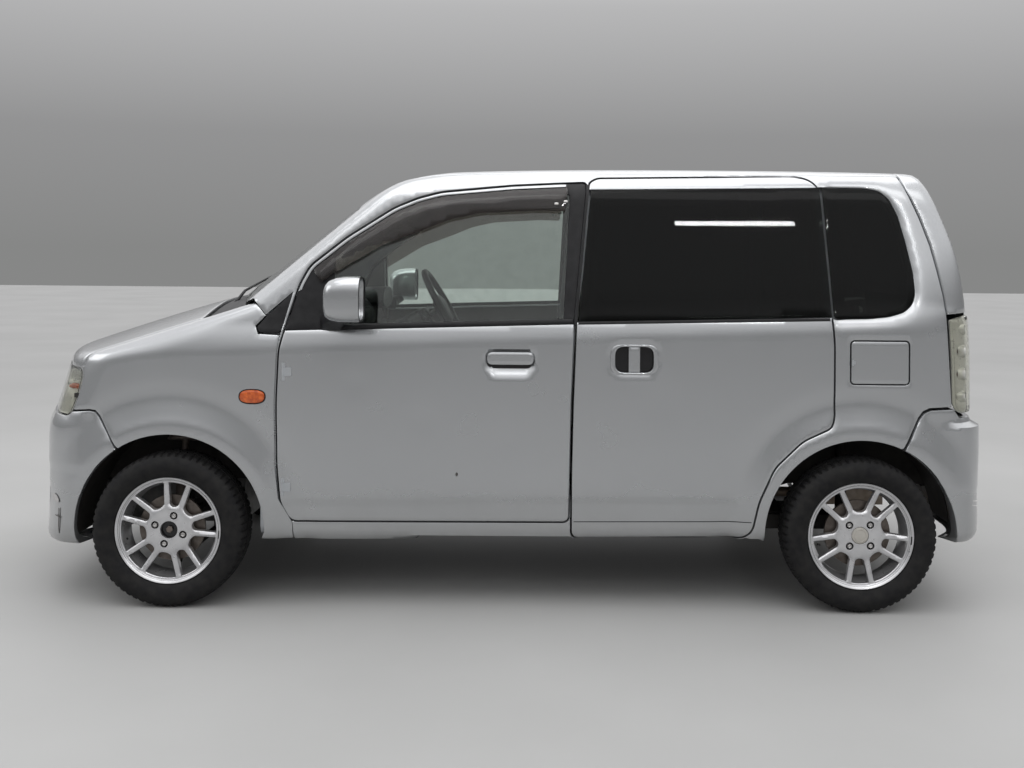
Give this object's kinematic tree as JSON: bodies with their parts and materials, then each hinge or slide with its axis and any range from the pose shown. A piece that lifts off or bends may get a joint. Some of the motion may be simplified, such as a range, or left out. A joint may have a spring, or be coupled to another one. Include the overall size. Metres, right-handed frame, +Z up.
{
  "type": "kei car",
  "caption": "Tall one-box kei car with a sliding rear side door on the left, hinged doors, tailgate, bonnet, steered front wheels and alloy road wheels.",
  "frame": {"origin": "on the ground under the middle of the car", "axes": "+X rearwards, +Y to the right of the car, +Z up"},
  "size_m": [3.3998, 1.76, 1.5304],
  "materials": {
    "paint_silver": "metallic silver gloss",
    "mirror_shell": "metallic silver gloss",
    "clear_glass": "clear, lightly tinted green",
    "privacy_glass": "dark privacy glass",
    "lamp_lens": "clear lens, lightly yellowed",
    "tail_lens": "clear lens over reflectors",
    "black_trim": "satin",
    "dash_plastic": "grained",
    "seat_fabric": "woven cloth",
    "under_steel": "matt black underbody paint",
    "engine_iron": "as cast",
    "exhaust_steel": "dull, lightly rusted",
    "plate_blank": "flat, blank",
    "strut_iron": "dull",
    "hub_iron": "lightly rusted",
    "rim_alloy": "painted silver",
    "tyre_rubber": "worn matt"
  },
  "bodies": {
    "body": {"body_side_left": "paint_silver", "body_side_right": "paint_silver", "roof": "paint_silver", "front_fenders": "paint_silver", "front_bumper": "paint_silver", "rear_bumper": "paint_silver", "sliding_door_left": "paint_silver", "windscreen": "clear_glass", "quarter_glass": "privacy_glass", "sliding_door_glass_left": "privacy_glass", "headlamps": "lamp_lens", "tail_lamps": "tail_lens", "cowl": "black_trim", "grille": "black_trim", "dashboard": "dash_plastic", "front_seats": "seat_fabric", "rear_seat": "seat_fabric", "floor_pan": "under_steel", "front_frame": "under_steel", "lower_arms": "under_steel", "rear_axle": "under_steel", "fuel_tank": "under_steel", "drive_shafts": "under_steel", "engine": "engine_iron", "exhaust": "exhaust_steel", "front_plate": "plate_blank"},
    "front_door_left": {"front_door_left": "paint_silver", "front_door_glass_left": "clear_glass", "mirror_left": "mirror_shell"},
    "front_door_right": {"front_door_right": "paint_silver", "front_door_glass_right": "clear_glass", "mirror_right": "mirror_shell"},
    "rear_door_right": {"rear_door_right": "paint_silver", "rear_door_glass_right": "privacy_glass"},
    "tailgate": {"tailgate": "paint_silver", "tailgate_glass": "privacy_glass", "rear_plate": "plate_blank"},
    "bonnet": {"bonnet": "paint_silver"},
    "fuel_flap": {"fuel_flap": "paint_silver"},
    "knuckle_left": {"knuckle_left": "strut_iron"},
    "knuckle_right": {"knuckle_right": "strut_iron"},
    "steering_wheel": {"steering_wheel": "dash_plastic"},
    "wheel_front_left": {"tyre_front_left": "tyre_rubber", "rim_front_left": "rim_alloy", "hub_front_left": "hub_iron"},
    "wheel_front_right": {"tyre_front_right": "tyre_rubber", "rim_front_right": "rim_alloy", "hub_front_right": "hub_iron"},
    "wheel_rear_left": {"tyre_rear_left": "tyre_rubber", "rim_rear_left": "rim_alloy", "hub_rear_left": "hub_iron"},
    "wheel_rear_right": {"tyre_rear_right": "tyre_rubber", "rim_rear_right": "rim_alloy", "hub_rear_right": "hub_iron"}
  },
  "joints": [
    {"name": "front_door_left_swing", "type": "hinge", "parent": "body", "child": "front_door_left", "pos_m": [-0.722, -0.7065, 0.6], "axis": [0, 0, -1], "range_deg": [0, 65]},
    {"name": "front_door_right_swing", "type": "hinge", "parent": "body", "child": "front_door_right", "pos_m": [-0.722, 0.7065, 0.6], "axis": [0, 0, 1], "range_deg": [0, 65]},
    {"name": "rear_door_right_swing", "type": "hinge", "parent": "body", "child": "rear_door_right", "pos_m": [0.281, 0.7065, 0.6], "axis": [0, 0, 1], "range_deg": [0, 65]},
    {"name": "tailgate_lift", "type": "hinge", "parent": "body", "child": "tailgate", "pos_m": [1.424, 0, 1.494], "axis": [0, -1, 0], "range_deg": [0, 75]},
    {"name": "bonnet_lift", "type": "hinge", "parent": "body", "child": "bonnet", "pos_m": [-1.032, 0, 1.005], "axis": [0, 1, 0], "range_deg": [0, 52]},
    {"name": "fuel_flap_swing", "type": "hinge", "parent": "body", "child": "fuel_flap", "pos_m": [1.1985, -0.7185, 0.846], "axis": [0, 0, -1], "range_deg": [0, 85]},
    {"name": "steer_left", "type": "hinge", "parent": "body", "child": "knuckle_left", "pos_m": [-1.1075, -0.61, 0.15], "axis": [0, 0.2162, 0.9764], "range_deg": [-33, 33]},
    {"name": "steer_right", "type": "hinge", "parent": "body", "child": "knuckle_right", "pos_m": [-1.1075, 0.61, 0.15], "axis": [0, -0.2162, 0.9764], "range_deg": [-33, 33]},
    {"name": "steering_wheel_turn", "type": "hinge", "parent": "body", "child": "steering_wheel", "pos_m": [-0.27, 0.33, 0.97], "axis": [0.866, 0, 0.5], "range_deg": [-528, 528]},
    {"name": "spin_front_left", "type": "hinge", "parent": "knuckle_left", "child": "wheel_front_left", "pos_m": [-1.1075, -0.6525, 0.26], "axis": [0, 1, 0], "continuous": true},
    {"name": "spin_front_right", "type": "hinge", "parent": "knuckle_right", "child": "wheel_front_right", "pos_m": [-1.1075, 0.6525, 0.26], "axis": [0, 1, 0], "continuous": true},
    {"name": "spin_rear_left", "type": "hinge", "parent": "body", "child": "wheel_rear_left", "pos_m": [1.2325, -0.6525, 0.26], "axis": [0, 1, 0], "continuous": true},
    {"name": "spin_rear_right", "type": "hinge", "parent": "body", "child": "wheel_rear_right", "pos_m": [1.2325, 0.6525, 0.26], "axis": [0, 1, 0], "continuous": true}
  ],
  "couplings": [
    {"joint": "steer_right", "follows": "steer_left", "ratio": 1},
    {"joint": "steering_wheel_turn", "follows": "steer_left", "ratio": 16}
  ]
}
